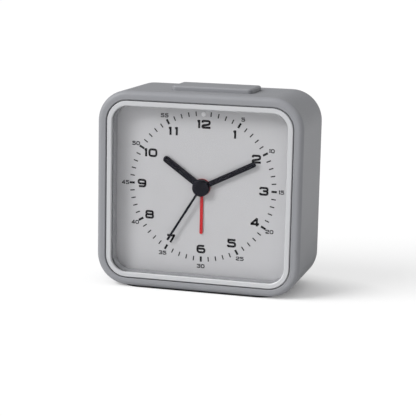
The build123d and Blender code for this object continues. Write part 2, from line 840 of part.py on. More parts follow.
# Back plate, with posts that clamp the mid plate and pads for the circuit board
board_back = plate_front - board_gap
board_places = [
    (board_left + x, board_low + z)
    for x in (board_pad_inset, board_width - board_pad_inset)
    for z in (board_pad_inset, board_height - board_pad_inset)
]
with BuildPart() as movement_back_plate:
    block((frame_left, plate_front, dial_z + frame_low), (frame_right, plate_back, dial_z + frame_high))
    for place in post_places:
        turned(post_radius, mid_back, plate_front, place)
        turned(frame_screw / 2 + screw_fit, mid_back, plate_back, place, Mode.SUBTRACT)
    for place in (setting, alarm_shaft):
        turned(shaft_diameter / 2 + running_fit, plate_front, plate_back, place, Mode.SUBTRACT)
    for place in (centre, third, step, rotor):
        turned(pivot_diameter / 2 + running_fit, plate_front, plate_back, place, Mode.SUBTRACT)
    for place in board_places:
        turned(board_pad, board_back, plate_front, place)
    for place in stator_ends:
        turned(stator_post, stator_back, plate_front, place)

# Movement screws, through both plates and the tray into the web of the case
frame_screw_length = plate_back - web_front - plate_gap
screw_layer = Plane(origin=(0, plate_back, 0), x_dir=(1, 0, 0), z_dir=(0, 1, 0))
frame_screw_shape = round_screw(
    frame_screw / 2, frame_screw_length, screw_head / 2, screw_head_height, screw_layer
)
with BuildPart() as movement_screws:
    for x, z in post_places:
        add(Pos(x, 0, dial_z + z) * frame_screw_shape)

# Motor: stator plates round the magnet, and the coil on its core
with BuildPart() as stator:
    with BuildSketch(dial_layer(stator_front)):
        with Locations(rotor):
            Circle(magnet_radius + magnet_gap + stator_ring)
            Rectangle(stator_bar, 2 * stator_reach + stator_bar)
        for end in stator_ends:
            with Locations(((rotor[0] + end[0]) / 2, end[1])):
                Rectangle(stator_span + stator_bar, stator_bar)
        with Locations(rotor):
            Circle(magnet_radius + magnet_gap, mode=Mode.SUBTRACT)
    extrude(amount=-stator_sheet)
with BuildPart() as coil_core:
    with BuildSketch(dial_layer(core_front)):
        with Locations(coil_place):
            Rectangle(stator_bar, 2 * stator_reach + stator_bar)
    extrude(amount=-stator_sheet)
coil_centre = (coil_place[0], core_front + stator_sheet / 2, dial_z + coil_place[1])
tube_radius = hypot(stator_bar, stator_sheet) / 2 + core_gap + bobbin_wall
with BuildPart() as coil_bobbin:
    with Locations(coil_centre):
        Cylinder(tube_radius, coil_length)
    for side in (-1, 1):
        with Locations((*coil_centre[:2], coil_centre[2] + side * (coil_length - flange_sheet) / 2)):
            Cylinder(flange_radius, flange_sheet)
    with Locations(coil_centre):
        Box(stator_bar + 2 * core_gap, stator_sheet + 2 * core_gap, coil_length, mode=Mode.SUBTRACT)
with BuildPart() as coil_winding:
    with Locations(coil_centre):
        Cylinder(coil_radius, coil_length - 2 * flange_sheet - 2 * press_gap)
        Cylinder(tube_radius + press_gap, coil_length, mode=Mode.SUBTRACT)

# Circuit board with the control chip and the quartz crystal
board_front = board_back - board_sheet
with BuildPart() as circuit_board:
    block((board_left, board_front, dial_z + board_low),
          (board_left + board_width, board_back, dial_z + board_low + board_height))


def on_board(shares):
    """A place on the board, as shares of its width and height."""
    return (board_left + board_width * shares[0], board_low + board_height * shares[1])


chip_place = on_board(chip_place_shares)
with BuildPart() as control_chip:
    turned(chip_radius, board_front - chip_height, board_front, chip_place)
    fillet(control_chip.edges().sort_by(Axis.Y)[0], chip_height / 2)
crystal_place = on_board(crystal_place_shares)
with BuildPart() as quartz_crystal:
    with Locations((crystal_place[0], board_front - crystal_diameter / 2, dial_z + crystal_place[1])):
        Cylinder(crystal_diameter / 2, crystal_length, rotation=(0, 90, 0))
    fillet(quartz_crystal.edges().filter_by(GeomType.CIRCLE), crystal_round)

# Alarm contact spring, on its post behind the hour wheel
with BuildPart() as alarm_contact_spring:
    with BuildSketch(dial_layer(leaf_front)):
        with Locations(Location((0, 0, 0), (0, 0, leaf_direction))):
            with Locations((leaf_start + leaf_length / 2, 0)):
                SlotOverall(leaf_length, leaf_width)
    extrude(amount=-leaf_sheet)

# Rear cover, with the cell bay, sound slots and holes for the knob shafts
bay_low = cell_height - bay_half_height
bay_high = cell_height + bay_half_height
switch_slot = (switch_stem + 2 * switch_gap + switch_travel) / 2
with BuildPart() as rear_cover:
    with BuildSketch(case_layer(cover_front)):
        outline(cover_seat + cover_gap)
    extrude(amount=-cover_thickness)
    chamfer(rear_cover.faces().sort_by(Axis.Y)[-1].edges(), cover_edge)
    block((bay_left - bay_wall, bay_front - bay_wall, bay_low - bay_wall),
          (bay_right + bay_wall, cover_front, bay_high + bay_wall))
    block((bay_left, bay_front, bay_low), (bay_right, back, bay_high), Mode.SUBTRACT)
    with BuildSketch(Plane(origin=(0, back, cell_height), x_dir=(1, 0, 0), z_dir=(0, -1, 0))):
        RectangleRounded(bay_length + 2 * door_lap, bay_high - bay_low + 2 * door_lap, door_corner)
    extrude(amount=door_sheet, mode=Mode.SUBTRACT)
    for x, z in boss_places:
        with Locations((x, cover_front + cover_thickness / 2, z)):
            Cylinder(cover_screw / 2 + head_gap, cover_thickness, rotation=(90, 0, 0), mode=Mode.SUBTRACT)
        with Locations((x, back - cover_head_height / 2, z)):
            Cylinder(cover_head / 2 + head_gap, cover_head_height, rotation=(90, 0, 0), mode=Mode.SUBTRACT)
    for place in (setting, alarm_shaft):
        turned(shaft_diameter / 2 + head_gap, cover_front, back, place, Mode.SUBTRACT)
    block((-switch_across - switch_slot, cover_front, switch_z - switch_stem / 2 - switch_gap),
          (-switch_across + switch_slot, back, switch_z + switch_stem / 2 + switch_gap), Mode.SUBTRACT)
    with BuildSketch(Plane(origin=(buzzer_across, back, buzzer_z), x_dir=(1, 0, 0), z_dir=(0, -1, 0))):
        with GridLocations(0, sound_pitch, 1, sound_slots):
            SlotOverall(sound_length, sound_slot)
    extrude(amount=cover_thickness, mode=Mode.SUBTRACT)

# Rear screws, sunk in the cover and driven into the case bosses
rear_layer = Plane(origin=(0, back - cover_head_height, 0), x_dir=(1, 0, 0), z_dir=(0, 1, 0))
rear_screw_length = cover_screw_length + cover_thickness - cover_head_height - plate_gap
rear_screw_shape = round_screw(
    cover_screw / 2, rear_screw_length, cover_head / 2, cover_head_height, rear_layer
)
with BuildPart() as rear_screws:
    for x, z in boss_places:
        add(Pos(x, 0, z) * rear_screw_shape)

# Cell, with its raised end to the right
cell_right = bay_right - contact_sheet - cell_nub
with BuildPart() as cell:
    with Locations((cell_right - cell_length / 2, cell_y, cell_height)):
        Cylinder(cell_diameter / 2, cell_length, rotation=(0, 90, 0))
    fillet(cell.edges().filter_by(GeomType.CIRCLE), cell_edge)
    with Locations((cell_right + cell_nub / 2, cell_y, cell_height)):
        Cylinder(cell_nub_radius, cell_nub, rotation=(0, 90, 0))

# Contacts at the two ends of the bay
half_contact = contact_width / 2
with BuildPart() as positive_contact:
    block((bay_right - contact_sheet, cell_y - half_contact, cell_height - half_contact),
          (bay_right, cell_y + half_contact, cell_height + half_contact))
with BuildPart() as negative_contact:
    block((bay_left, cell_y - half_contact, cell_height - half_contact),
          (bay_left + contact_sheet, cell_y + half_contact, cell_height + half_contact))
contact_spring = wire_spring(
    (bay_left + contact_sheet + wire_gap + spring_wire / 2, cell_y, cell_height), (1, 0, 0),
    spring_radius, spring_wire, spring_room - spring_wire - 2 * wire_gap, spring_turns,
)

# Cell door, held by two ribs that grip the bay
door_half_length = bay_length / 2 + door_lap - door_gap
door_half_height = bay_half_height + door_lap - door_gap
with BuildPart() as cell_door:
    with BuildSketch(Plane(origin=(0, back, cell_height), x_dir=(1, 0, 0), z_dir=(0, -1, 0))):
        RectangleRounded(2 * door_half_length, 2 * door_half_height, door_corner - door_gap)
    extrude(amount=door_sheet)
    chamfer(cell_door.faces().sort_by(Axis.Y)[-1].edges(), cover_edge / 2)
    for side in (-1, 1):
        with Locations((0, door_inside - door_rib_depth / 2,
                        cell_height + side * (bay_half_height - door_gap - door_rib / 2))):
            Box(bay_length - 2 * contact_width, door_rib_depth, door_rib)
    with Locations((0, back, cell_height + door_half_height)):
        Box(door_notch, 2 * door_notch_depth, 2 * door_lap, mode=Mode.SUBTRACT)

# Alarm switch: a ribbed slider through the cover, and the switch box behind it
thumb = (switch_thumb / 2, switch_thumb_height / 2)
slider_x = -switch_across - switch_travel / 2
flange_half = switch_slot + switch_flange_margin
with BuildPart() as alarm_switch_slider:
    block((slider_x - thumb[0], back + running_fit, switch_z - thumb[1]),
          (slider_x + thumb[0], back + running_fit + switch_proud, switch_z + thumb[1]))
    chamfer(alarm_switch_slider.faces().sort_by(Axis.Y)[-1].edges(), switch_rib_depth)
    for rib in range(switch_ribs):
        with Locations((slider_x + switch_thumb * ((rib + 1) / (switch_ribs + 1) - 1 / 2),
                        back + running_fit + switch_proud, switch_z)):
            Box(switch_rib_depth, 2 * switch_rib_depth, switch_thumb_height, mode=Mode.SUBTRACT)
    flange_back = cover_front - running_fit
    block((slider_x - switch_stem / 2, flange_back - switch_flange, switch_z - switch_stem / 2),
          (slider_x + switch_stem / 2, back + running_fit, switch_z + switch_stem / 2))
    block((slider_x - flange_half, flange_back - switch_flange, switch_z - thumb[1]),
          (slider_x + flange_half, flange_back, switch_z + thumb[1]))
box_half = flange_half + switch_travel / 2 + switch_gap + switch_box_margin
box_high = thumb[1] + switch_gap + switch_box_margin
with BuildPart() as alarm_switch_box:
    block((-switch_across - box_half, cover_front - switch_box_depth, switch_z - box_high),
          (-switch_across + box_half, cover_front, switch_z + box_high))
    block((-switch_across - box_half + switch_box_margin, flange_back - switch_flange - running_fit,
           switch_z - box_high + switch_box_margin),
          (-switch_across + box_half - switch_box_margin, cover_front,
           switch_z + box_high - switch_box_margin),
          Mode.SUBTRACT)

# Buzzer: a ring behind the sound slots that carries the piezo disc
buzzer_place = (buzzer_across, buzzer_z - dial_z)
buzzer_front = cover_front - buzzer_height
with BuildPart() as buzzer_ring:
    turned(buzzer_radius, buzzer_front, cover_front, buzzer_place)
    turned(buzzer_radius - buzzer_wall, buzzer_front, cover_front, buzzer_place, Mode.SUBTRACT)
    turned(buzzer_radius - buzzer_wall + piezo_ledge, buzzer_front, buzzer_front + piezo_step,
           buzzer_place, Mode.SUBTRACT)
with BuildPart() as piezo_disc:
    turned(buzzer_radius - buzzer_wall + piezo_ledge - running_fit,
           buzzer_front + piezo_step - piezo_sheet, buzzer_front + piezo_step, buzzer_place)

# Snooze bar, with a flange that stops it under the roof and pins that slide in the guide
with BuildPart() as snooze_bar:
    with BuildSketch(Plane.XY.offset(flange_bottom)):
        with Locations((snooze_across, snooze_centre)):
            RectangleRounded(snooze_width, snooze_depth, snooze_corner)
    extrude(amount=snooze_top - flange_bottom)
    fillet(snooze_bar.faces().sort_by(Axis.Z)[-1].edges(), snooze_round)
    with BuildSketch(Plane.XY.offset(flange_bottom)):
        with Locations((snooze_across, snooze_centre)):
            RectangleRounded(snooze_width + 2 * snooze_flange_margin, snooze_depth, snooze_corner)
    extrude(amount=snooze_flange - running_fit)
    for x in snooze_pins:
        with Locations((x, guide_y, (flange_bottom + guide_top - guide_sheet) / 2)):
            Cylinder(snooze_pin / 2, flange_bottom - guide_top + guide_sheet)
    with Locations((snooze_across, guide_y, (flange_bottom + plunger_bottom) / 2)):
        Cylinder(snooze_key_radius, snooze_plunger)

# Guide under the roof, with its screws
with BuildPart() as snooze_guide:
    with BuildSketch(Plane.XY.offset(guide_top - guide_sheet)):
        with Locations((snooze_across, guide_y)):
            RectangleRounded(guide_width, guide_depth, guide_post)
        with Locations([(x, guide_y) for x in snooze_pins]):
            Circle(snooze_pin / 2 + running_fit, mode=Mode.SUBTRACT)
        with Locations([(x, guide_y) for x in guide_posts]):
            Circle(guide_screw / 2 + screw_fit, mode=Mode.SUBTRACT)
    extrude(amount=guide_sheet)
guide_layer = Plane(origin=(0, 0, guide_top - guide_sheet), x_dir=(1, 0, 0), z_dir=(0, 0, -1))
guide_shank = guide_sheet + guide_screw_length - plate_gap
guide_screw_shape = round_screw(
    guide_screw / 2, guide_shank, guide_head / 2, guide_head_height, guide_layer
)
with BuildPart() as guide_screws:
    for x in guide_posts:
        add(Pos(x, guide_y, 0) * guide_screw_shape)

# Springs round the pins of the snooze bar
coil_mean = snooze_pin / 2 + coil_gap + coil_wire / 2
coil_run = flange_bottom - guide_top - coil_wire - 2 * wire_gap
coil_base = guide_top + wire_gap + coil_wire / 2
snooze_coils = [
    wire_spring((x, guide_y, coil_base), (0, 0, 1), coil_mean, coil_wire, coil_run, coil_turns)
    for x in snooze_pins
]
with BuildPart() as snooze_springs:
    add([coil.part for coil in snooze_coils])

# Snooze switch on the guide, with the key that the bar presses
with BuildPart() as snooze_switch:
    with Locations((snooze_across, guide_y, guide_top + snooze_switch_height / 2)):
        Box(snooze_switch_size, snooze_switch_size, snooze_switch_height)
    chamfer(snooze_switch.faces().sort_by(Axis.Z)[-1].edges(), snooze_key_height / 2)
    with Locations((snooze_across, guide_y, key_top - snooze_key_height / 2)):
        Cylinder(snooze_key_radius, snooze_key_height)

# Every piece goes to its own file
pieces = {
    "case_shell": case_shell, "bezel": bezel, "lens": lens, "dial_ring": dial_ring, "dial": dial,
    "light_lens": light_lens, "dial_lamp": dial_lamp, "second_hand": second_hand,
    "minute_hand": minute_hand, "hour_hand": hour_hand, "alarm_hand": alarm_hand,
    "alarm_wheel": alarm_wheel, "hour_wheel": hour_wheel, "minute_arbor": minute_arbor,
    "centre_wheel": centre_wheel, "clutch_spring": clutch_spring, "third_wheel": third_wheel,
    "second_wheel": second_wheel, "step_wheel": step_wheel, "rotor_pinion": rotor_pinion,
    "rotor_magnet": rotor_magnet, "setting_wheel": setting_wheel,
    "alarm_setting_shaft": alarm_setting_shaft, "time_knob": time_knob, "alarm_knob": alarm_knob,
    "movement_housing": movement_housing, "movement_mid_plate": movement_mid_plate,
    "movement_back_plate": movement_back_plate, "movement_screws": movement_screws,
    "stator": stator, "coil_core": coil_core, "coil_bobbin": coil_bobbin, "coil_winding": coil_winding,
    "circuit_board": circuit_board, "control_chip": control_chip, "quartz_crystal": quartz_crystal,
    "alarm_contact_spring": alarm_contact_spring, "rear_cover": rear_cover, "rear_screws": rear_screws,
    "cell": cell, "positive_contact": positive_contact, "negative_contact": negative_contact,
    "contact_spring": contact_spring, "cell_door": cell_door, "alarm_switch_slider": alarm_switch_slider,
    "alarm_switch_box": alarm_switch_box, "buzzer_ring": buzzer_ring, "piezo_disc": piezo_disc,
    "snooze_bar": snooze_bar, "snooze_guide": snooze_guide, "guide_screws": guide_screws,
    "snooze_springs": snooze_springs, "snooze_switch": snooze_switch,
}
os.makedirs("parts", exist_ok=True)
for name, piece in pieces.items():
    piece.part.label = name
    export_step(piece.part, f"parts/{name}.step")
print(len(pieces), "pieces written")
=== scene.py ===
# %% [markdown]
# # A square quartz alarm clock
# The clock's solids are already made and packed, each at its real size and place.
# This lesson dresses them: it gives every piece a finish, prints the dial, lays a black pad under the
# case as painted shade and sets up a floor, soft light and a camera. Nothing that was packed is moved or
# reshaped.

# %% Load the imported solids
import math

import bpy
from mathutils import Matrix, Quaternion, Vector


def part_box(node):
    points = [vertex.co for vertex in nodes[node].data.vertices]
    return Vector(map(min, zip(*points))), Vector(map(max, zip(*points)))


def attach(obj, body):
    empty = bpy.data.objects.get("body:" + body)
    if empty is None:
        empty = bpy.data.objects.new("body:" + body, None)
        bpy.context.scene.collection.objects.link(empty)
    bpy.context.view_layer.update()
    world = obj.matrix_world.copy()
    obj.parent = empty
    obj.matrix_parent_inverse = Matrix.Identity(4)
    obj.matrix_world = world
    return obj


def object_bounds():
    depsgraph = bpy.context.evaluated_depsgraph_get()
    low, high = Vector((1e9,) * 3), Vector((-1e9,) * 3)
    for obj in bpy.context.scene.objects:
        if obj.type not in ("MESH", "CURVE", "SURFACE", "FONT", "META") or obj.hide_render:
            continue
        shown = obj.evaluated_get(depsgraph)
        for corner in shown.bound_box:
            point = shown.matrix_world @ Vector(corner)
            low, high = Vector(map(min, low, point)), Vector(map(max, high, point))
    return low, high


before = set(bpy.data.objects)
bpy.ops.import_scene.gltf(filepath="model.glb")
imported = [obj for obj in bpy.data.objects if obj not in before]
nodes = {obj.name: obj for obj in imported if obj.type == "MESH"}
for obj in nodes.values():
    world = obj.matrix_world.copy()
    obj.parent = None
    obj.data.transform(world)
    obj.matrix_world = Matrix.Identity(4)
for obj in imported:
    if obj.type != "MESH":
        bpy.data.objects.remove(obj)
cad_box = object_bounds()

MM = 0.001
print("solids loaded:", len(nodes))

# %% [markdown]
# ## Colours and shader nodes
# Colours are written as the hex values that a picture shows, and shaders want linear light,
# so one function turns one into the other. A second small function adds a shader node,
# sets it up and links it, which keeps each finish below to a few readable lines.

# %% Colour and node helpers
def linear(hex_colour):
    """A hex colour such as #97989c as linear red, green, blue and full alpha."""
    channels = [int(hex_colour[i:i + 2], 16) / 255 for i in (1, 3, 5)]
    return [c / 12.92 if c <= 0.04045 else ((c + 0.055) / 1.055) ** 2.4 for c in channels] + [1.0]


WHITE = linear("#ffffff")


def add_node(tree, kind, values=None, links=None, **settings):
    """Adds a node, sets its properties and its sockets' values, and links sockets to other outputs."""
    node = tree.nodes.new(kind)
    for name, value in settings.items():
        setattr(node, name, value)
    for socket, value in (values or {}).items():
        node.inputs[socket].default_value = value
    for socket, source in (links or {}).items():
        tree.links.new(source, node.inputs[socket])
    return node


def new_material(name):
    """A material with an empty tree, and its output node."""
    material = bpy.data.materials.new(name)
    material.use_nodes = True
    material.node_tree.nodes.clear()
    return material, material.node_tree, material.node_tree.nodes.new("ShaderNodeOutputMaterial")


def dress(material, *names):
    """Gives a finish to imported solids."""
    for name in names:
        solid = nodes[name]
        solid.data.materials.clear()
        solid.data.materials.append(material)


# %% [markdown]
# ## Moulded and painted finishes
# Most of the clock is injection moulded. A mould's face is etched, so the plastic has a fine grain
# that breaks up the shine, and the colour varies a little where the melt flowed. Noise does both:
# one fine noise drives the bump and the roughness, one broad noise shifts the colour by a few percent.

# %% One recipe for grained surfaces
BLOTCH = 18.0 * MM
GRAIN_LOW, GRAIN_HIGH = 0.3, 0.7
ROUGH_SPREAD = 0.06
COAT_ROUGHNESS = 0.1


def grained(name, colour, second, grain_mm, depth_mm, rough, metallic=0.0, ior=1.5, coat=0.0):
    """A surface with a fine grain of the given size and two close colours in broad blotches."""
    material, tree, output = new_material(name)
    place = add_node(tree, "ShaderNodeTexCoord")
    broad = add_node(tree, "ShaderNodeTexNoise", {"Scale": 1 / BLOTCH, "Detail": 2.0},
                     {"Vector": place.outputs["Object"]})
    tint = add_node(tree, "ShaderNodeMix", {"A": linear(colour), "B": linear(second)},
                    {"Factor": broad.outputs["Fac"]}, data_type="RGBA")
    fine = add_node(tree, "ShaderNodeTexNoise", {"Scale": 1 / (grain_mm * MM), "Detail": 3.0},
                    {"Vector": place.outputs["Object"]})
    shine = add_node(tree, "ShaderNodeMapRange",
                     {"From Min": GRAIN_LOW, "From Max": GRAIN_HIGH,
                      "To Min": rough - ROUGH_SPREAD, "To Max": rough + ROUGH_SPREAD},
                     {"Value": fine.outputs["Fac"]})
    bump = add_node(tree, "ShaderNodeBump", {"Strength": 1.0, "Distance": depth_mm * MM},
                    {"Height": fine.outputs["Fac"]})
    shader = add_node(tree, "ShaderNodeBsdfPrincipled",
                      {"Metallic": metallic, "IOR": ior, "Coat Weight": coat,
                       "Coat Roughness": COAT_ROUGHNESS},
                      {"Base Color": tint.outputs["Result"], "Roughness": shine.outputs["Result"],
                       "Normal": bump.outputs["Normal"]})
    tree.links.new(shader.outputs["BSDF"], output.inputs["Surface"])
    return material


# %% Case, bezel, dial and hands
# Grey ABS from a spark-etched mould: a soft, broad sheen along the rounded edges. The grain is drawn
# at 0.5 mm, coarser than the real 0.1 mm, so that it shows.
case_abs = grained("spark_etched_grey_abs", "#87888c", "#8b8c90", 0.5, 0.012, 0.46, ior=1.36)
# Silver paint over ABS: small metal flakes give a pale satin ring.
silver_paint = grained("silver_painted_abs", "#bcbdc0", "#c1c2c4", 0.25, 0.004, 0.4, metallic=0.2)
# The wall round the dial is left smooth from the mould, so it mirrors the dial's edge a little.
ring_abs = grained("polished_grey_abs", "#acadb1", "#b0b1b4", 0.4, 0.002, 0.22)
# The dial is a sheet printed pale silver: matt, with a faint tooth.
dial_sheet = grained("printed_silver_sheet", "#c9c9cb", "#cccccf", 0.3, 0.003, 0.55)
# Hands are stamped from thin aluminium and lacquered: a deep colour with a dull gleam.
black_lacquer = grained("black_lacquered_aluminium", "#0a0a16", "#0d0d1a", 0.6, 0.002, 0.42, ior=1.25)
red_lacquer = grained("red_lacquered_aluminium", "#c8242c", "#cd2930", 0.6, 0.002, 0.42, ior=1.3)
# Black ABS for the knobs, the switch and the frames of the works: dark, with a soft grey sheen.
black_abs = grained("black_moulded_abs", "#1b1c1f", "#202124", 0.4, 0.01, 0.5)
dress(case_abs, "case_shell", "rear_cover", "cell_door", "snooze_bar")
dress(silver_paint, "bezel")
dress(ring_abs, "dial_ring")
dress(dial_sheet, "dial")
dress(black_lacquer, "second_hand", "minute_hand", "hour_hand")
dress(red_lacquer, "alarm_hand")
dress(black_abs, "time_knob", "alarm_knob", "alarm_switch_slider", "alarm_switch_box", "buzzer_ring",
      "snooze_switch", "movement_housing", "movement_mid_plate", "movement_back_plate", "snooze_guide")

# %% [markdown]
# ## The works
# Little of the works shows, only the cell and its contacts when the door is off, but each piece
# still has its own finish: acetal wheels, a brass arbor, plated steel, enamelled copper wire.

# %% Finishes of the works
# Acetal straight from the mould: a warm white with a waxy sheen.
acetal = grained("natural_acetal", "#e6e3da", "#ebe8e0", 0.5, 0.004, 0.42)
# Three bright metals: yellow brass with a clean gleam, and nickel and zinc, one warm and one cool.
brass = grained("turned_brass", "#c8a35a", "#d0ab62", 0.3, 0.002, 0.28, metallic=1.0)
nickel = grained("nickel_plated_steel", "#c9c8c4", "#d2d1cd", 0.4, 0.002, 0.26, metallic=1.0)
zinc = grained("zinc_plated_steel", "#b9bcc0", "#c3c6ca", 0.5, 0.003, 0.34, metallic=1.0)
# Iron for the motor is bare and grey, duller than the plated steel.
soft_iron = grained("stamped_soft_iron", "#8e8f92", "#999a9c", 0.5, 0.004, 0.4, metallic=1.0)
# Nylon is a little yellower and duller than acetal.
nylon = grained("natural_nylon", "#dcd8c8", "#e2decf", 0.5, 0.004, 0.45)
# Enamel over copper wire: a clear coat on a red metal.
copper = grained("enamelled_copper_wire", "#b0602f", "#bb6a36", 0.2, 0.02, 0.3, metallic=1.0, coat=0.5)
# The board is green under a satin mask, and the chip sits under a smooth black drop of resin.
epoxy_board = grained("green_glass_epoxy", "#2c6b3a", "#327341", 0.4, 0.004, 0.4)
resin = grained("black_epoxy_drop", "#121214", "#161618", 0.8, 0.002, 0.25)
dress(acetal, "alarm_wheel", "hour_wheel", "centre_wheel", "third_wheel", "second_wheel", "step_wheel",
      "setting_wheel", "alarm_setting_shaft", "rotor_pinion")
dress(brass, "minute_arbor", "piezo_disc")
dress(nickel, "clutch_spring", "alarm_contact_spring", "snooze_springs", "contact_spring",
      "positive_contact", "negative_contact", "quartz_crystal")
dress(soft_iron, "rotor_magnet", "stator", "coil_core")
dress(zinc, "movement_screws", "rear_screws", "guide_screws")
dress(nylon, "coil_bobbin")
dress(copper, "coil_winding")
dress(epoxy_board, "circuit_board")
dress(resin, "control_chip")

# %% [markdown]
# ## Clear pieces
# The window is moulded acrylic with a thin anti-glare coat, so it mirrors little when seen face on
# and more at a glancing angle. Mixing a clear shader with a mirror by Fresnel gives that, and lets
# the lamps reach the dial. The light at twelve is milky acrylic, drawn as a pale, smooth solid.

# %% Window and light
def clear_window():
    """A flat pane: clear face on, and mirroring more towards the edge of sight."""
    coated_ior, polish = 1.16, 0.04
    material, tree, output = new_material("clear_acrylic_window")
    facing = add_node(tree, "ShaderNodeFresnel", {"IOR": coated_ior})
    clear = add_node(tree, "ShaderNodeBsdfTransparent", {"Color": WHITE})
    mirror = add_node(tree, "ShaderNodeBsdfGlossy", {"Color": WHITE, "Roughness": polish})
    both = add_node(tree, "ShaderNodeMixShader", None,
                    {0: facing.outputs["Fac"], 1: clear.outputs["BSDF"], 2: mirror.outputs["BSDF"]})
    tree.links.new(both.outputs["Shader"], output.inputs["Surface"])
    return material


# Milky acrylic: a pale dot, brighter than the dial.
milky_acrylic = grained("milky_acrylic", "#f0f0f3", "#f4f4f6", 0.8, 0.001, 0.3)
dress(clear_window(), "lens")
dress(milky_acrylic, "light_lens", "dial_lamp")

# %% [markdown]
# ## The cell
# An AA cell is a steel can in a printed sleeve. The sleeve here is plain, with a pale ring at the
# raised end so that the cell can be put in the right way round. The ring is drawn by position along
# the cell, and the steel ends are left bare.

# %% Cell sleeve
def cell_sleeve():
    """A sleeve with a pale ring near the raised end and bare steel at both ends."""
    low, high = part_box("cell")
    nub, rim, ring, scuff = 1.3 * MM, 0.9 * MM, 9.0 * MM, 1.5 * MM
    steel, blue, pale = "#b9bbbd", "#3d5f86", "#d8d9da"
    smooth, dull, sleeve_metal = 0.24, 0.36, 0.6
    material, tree, output = new_material("printed_cell_sleeve")
    place = add_node(tree, "ShaderNodeTexCoord")
    axes = add_node(tree, "ShaderNodeSeparateXYZ", None, {"Vector": place.outputs["Object"]})
    along = add_node(tree, "ShaderNodeMapRange",
                     {"From Min": low.x, "From Max": high.x, "To Min": 0.0, "To Max": 1.0},
                     {"Value": axes.outputs["X"]})
    length = high.x - low.x
    bands = add_node(tree, "ShaderNodeValToRGB", None, {"Fac": along.outputs["Result"]})
    bands.color_ramp.interpolation = "CONSTANT"
    stops = [(0.0, steel), (rim / length, blue), (1 - (nub + ring) / length, pale),
             (1 - (nub + rim) / length, steel)]
    # A new ramp already has two stops.
    for share, _ in stops[2:]:
        bands.color_ramp.elements.new(share)
    for element, (share, colour) in zip(bands.color_ramp.elements, stops):
        element.position = share
        element.color = linear(colour)
    fine = add_node(tree, "ShaderNodeTexNoise", {"Scale": 1 / scuff},
                    {"Vector": place.outputs["Object"]})
    shine = add_node(tree, "ShaderNodeMapRange", {"To Min": smooth, "To Max": dull},
                     {"Value": fine.outputs["Fac"]})
    shader = add_node(tree, "ShaderNodeBsdfPrincipled", {"Metallic": sleeve_metal},
                      {"Base Color": bands.outputs["Color"], "Roughness": shine.outputs["Result"]})
    tree.links.new(shader.outputs["BSDF"], output.inputs["Surface"])
    return material


# The printed sleeve: a satin blue with a metal glint under it.
dress(cell_sleeve(), "cell")
print("finishes:", len(bpy.data.materials))

# %% [markdown]
# ## Printing the dial
# The numbers look drawn with a flat pen: broad digits with squared, rounded bowls.
# A font could be stretched to that width, but its strokes would thicken sideways, so each digit is
# drawn as strokes along its middle line, and every stroke keeps one width. A curve's ribbon does that
# when it is tilted to lie flat.

# %% Dial places
face_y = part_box("dial")[0].y
hub_low, hub_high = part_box("centre_wheel")
centre = Vector(((hub_low.x + hub_high.x) / 2, face_y, (hub_low.z + hub_high.z) / 2))
number_radius, tick_radius, minute_radius = 27.15 * MM, 31.6 * MM, 34.7 * MM
HOUR_STEP, MINUTE_STEP = 30, 6
ink_thick = 0.03 * MM
# Printing ink: flat black for hours and lines, a shade greyer for the small minutes.
ink = grained("black_dial_ink", "#17171b", "#1b1b1f", 0.5, 0.001, 0.6, ior=1.3)
grey_ink = grained("grey_dial_ink", "#202024", "#242428", 0.5, 0.001, 0.6, ior=1.3)
print("dial centre", [round(v / MM, 2) for v in centre])

# %% Digits as pen strokes
# Each stroke lists its corners as shares of the digit's width and height, then whether it closes.
SIX = [([(0.95, 1), (0, 1), (0, 0), (1, 0), (1, 0.56), (0, 0.56)], False)]
DIGITS = {
    "0": [([(0, 0), (1, 0), (1, 1), (0, 1)], True)],
    "1": [([(1, -0.13), (1, 1.13)], False), ([(1, 0.98), (0, 0.9)], False)],
    "2": [([(0, 0.72), (0, 1), (1, 1), (1, 0.5), (0, 0.3), (0, 0), (1.13, 0)], False)],
    "3": [([(0, 0.76), (0, 1), (1, 1), (1, 0.53), (0.36, 0.53)], False),
          ([(0.5, 0.53), (1, 0.53), (1, 0), (0, 0), (0, 0.24)], False)],
    "4": [([(0.8, -0.13), (0.8, 1.13)], False), ([(0.84, 1.08), (0.02, 0.22)], False),
          ([(-0.08, 0.2), (1.12, 0.2)], False)],
    "5": [([(1.05, 1), (-0.08, 1)], False),
          ([(0.05, 1), (0.05, 0.58), (1, 0.58), (1, 0), (0, 0), (0, 0.22)], False)],
    "6": SIX,
    "7": [([(-0.08, 1), (1.08, 1)], False), ([(0.98, 1.05), (0.4, -0.12)], False)],
    "8": [([(0.03, 0.52), (0.97, 0.52), (0.97, 1), (0.03, 1)], True),
          ([(0, 0), (1, 0), (1, 0.52), (0, 0.52)], True)],
    "9": [([(1 - x, 1 - y) for x, y in corners], closed) for corners, closed in SIX],
}
ONE_WIDTH_SHARE = 0.25
BEND_SHARE = 0.27
ARC_STEPS = 5


def rounded(corners, closed, radius):
    """The corners with each bend replaced by a short arc."""
    count = len(corners)
    points = []
    for i, corner in enumerate(corners):
        here = Vector(corner)
        if not closed and i in (0, count - 1):
            points.append(here)
            continue
        before = Vector(corners[i - 1]) - here
        after = Vector(corners[(i + 1) % count]) - here
        reach = min(radius, before.length / 2, after.length / 2)
        start, end = here + before.normalized() * reach, here + after.normalized() * reach
        for step in range(ARC_STEPS + 1):
            t = step / ARC_STEPS
            points.append(start * (1 - t) ** 2 + here * 2 * t * (1 - t) + end * t * t)
    return points


